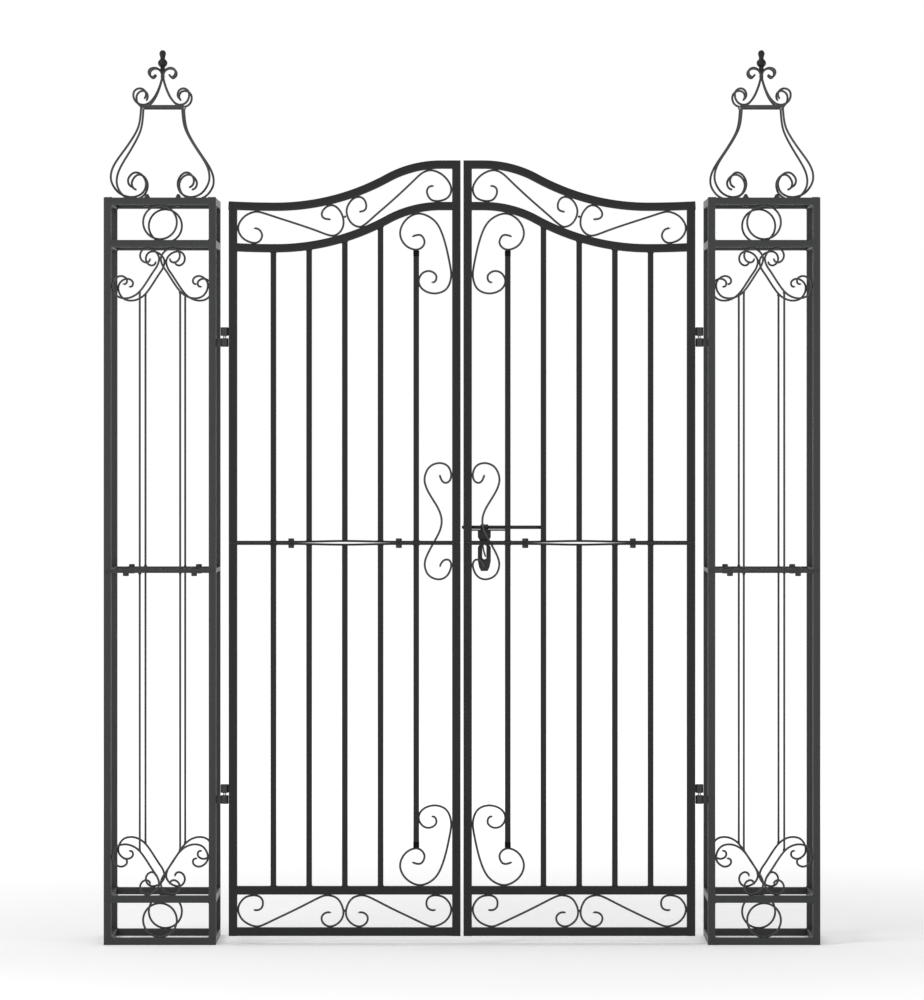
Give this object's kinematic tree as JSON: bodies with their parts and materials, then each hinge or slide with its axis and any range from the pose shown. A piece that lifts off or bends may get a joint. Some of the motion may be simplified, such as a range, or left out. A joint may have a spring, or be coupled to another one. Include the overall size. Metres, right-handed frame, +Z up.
{
  "type": "double garden gate",
  "caption": "Wrought-metal double garden gate with lattice box columns, wire crowns and finials, ogee-topped leaves, scrollwork and a slide bolt.",
  "frame": {"origin": "on the ground, midway between the two columns and midway through their depth", "axes": "+X to the right of a person facing the front, +Y away from them through the gateway, +Z up"},
  "size_m": [1.276, 0.2, 1.6],
  "materials": {
    "column_paint": "satin black powder coat on square steel tube",
    "leaf_paint": "satin black powder coat on square steel tube",
    "wire_paint": "satin black powder coat on round steel wire",
    "cast_paint": "glossier black paint on a cast finial",
    "hinge_paint": "satin black over turned steel",
    "screw_black": "black oxide hexagon screws and nuts",
    "bolt_black": "black round bar and plate, worn where it slides"
  },
  "bodies": {
    "columns": {"left_column_back_left_screw": "screw_black", "left_column_back_lower_scrollwork": "wire_paint", "left_column_back_right_screw": "screw_black", "left_column_back_upper_scrollwork": "wire_paint", "left_column_front_left_screw": "screw_black", "left_column_front_lower_scrollwork": "wire_paint", "left_column_front_right_screw": "screw_black", "left_column_front_upper_scrollwork": "wire_paint", "left_column_lower_frame": "column_paint", "left_column_upper_frame": "column_paint", "left_crown": "wire_paint", "left_crown_left_screw": "screw_black", "left_crown_right_screw": "screw_black", "left_finial": "cast_paint", "left_lower_hinge_pintle": "hinge_paint", "left_upper_hinge_pintle": "hinge_paint", "right_column_back_left_screw": "screw_black", "right_column_back_lower_scrollwork": "wire_paint", "right_column_back_right_screw": "screw_black", "right_column_back_upper_scrollwork": "wire_paint", "right_column_front_left_screw": "screw_black", "right_column_front_lower_scrollwork": "wire_paint", "right_column_front_right_screw": "screw_black", "right_column_front_upper_scrollwork": "wire_paint", "right_column_lower_frame": "column_paint", "right_column_upper_frame": "column_paint", "right_crown": "wire_paint", "right_crown_left_screw": "screw_black", "right_crown_right_screw": "screw_black", "right_finial": "cast_paint", "right_lower_hinge_pintle": "hinge_paint", "right_upper_hinge_pintle": "hinge_paint"},
    "left_leaf": {"left_keeper_eye": "bolt_black", "left_leaf_foot_scroll": "wire_paint", "left_leaf_high_scroll": "wire_paint", "left_leaf_inner_screw": "screw_black", "left_leaf_kick_scroll_pair": "wire_paint", "left_leaf_lower_frame": "leaf_paint", "left_leaf_outer_screw": "screw_black", "left_leaf_top_scroll_pair": "wire_paint", "left_leaf_upper_frame": "leaf_paint", "left_leaf_waist_scroll": "wire_paint", "left_lower_hinge_eye": "hinge_paint", "left_upper_hinge_eye": "hinge_paint"},
    "right_leaf": {"bar_guide_eye": "bolt_black", "right_leaf_foot_scroll": "wire_paint", "right_leaf_high_scroll": "wire_paint", "right_leaf_inner_screw": "screw_black", "right_leaf_kick_scroll_pair": "wire_paint", "right_leaf_lower_frame": "leaf_paint", "right_leaf_outer_screw": "screw_black", "right_leaf_top_scroll_pair": "wire_paint", "right_leaf_upper_frame": "leaf_paint", "right_leaf_waist_scroll": "wire_paint", "right_lower_hinge_eye": "hinge_paint", "right_upper_hinge_eye": "hinge_paint", "stile_guide_eye": "bolt_black"},
    "slide_bolt": {"bolt_rod": "bolt_black"},
    "drop_handle": {"drop_handle": "bolt_black"}
  },
  "joints": [
    {"name": "left_leaf_swing", "type": "hinge", "parent": "columns", "child": "left_leaf", "pos_m": [-0.4229, -0.0925, 0], "axis": [0, 0, -1], "range_deg": [-90, 100]},
    {"name": "right_leaf_swing", "type": "hinge", "parent": "columns", "child": "right_leaf", "pos_m": [0.4229, -0.0925, 0], "axis": [0, 0, 1], "range_deg": [-90, 100]},
    {"name": "bolt_slide", "type": "slide", "parent": "right_leaf", "child": "slide_bolt", "axis": [-1, 0, 0], "range_m": [-0.024, 0.02]},
    {"name": "handle_lift", "type": "hinge", "parent": "slide_bolt", "child": "drop_handle", "pos_m": [0.0398, -0.0785, 0.7435], "axis": [1, 0, 0], "range_deg": [0, 115]}
  ]
}
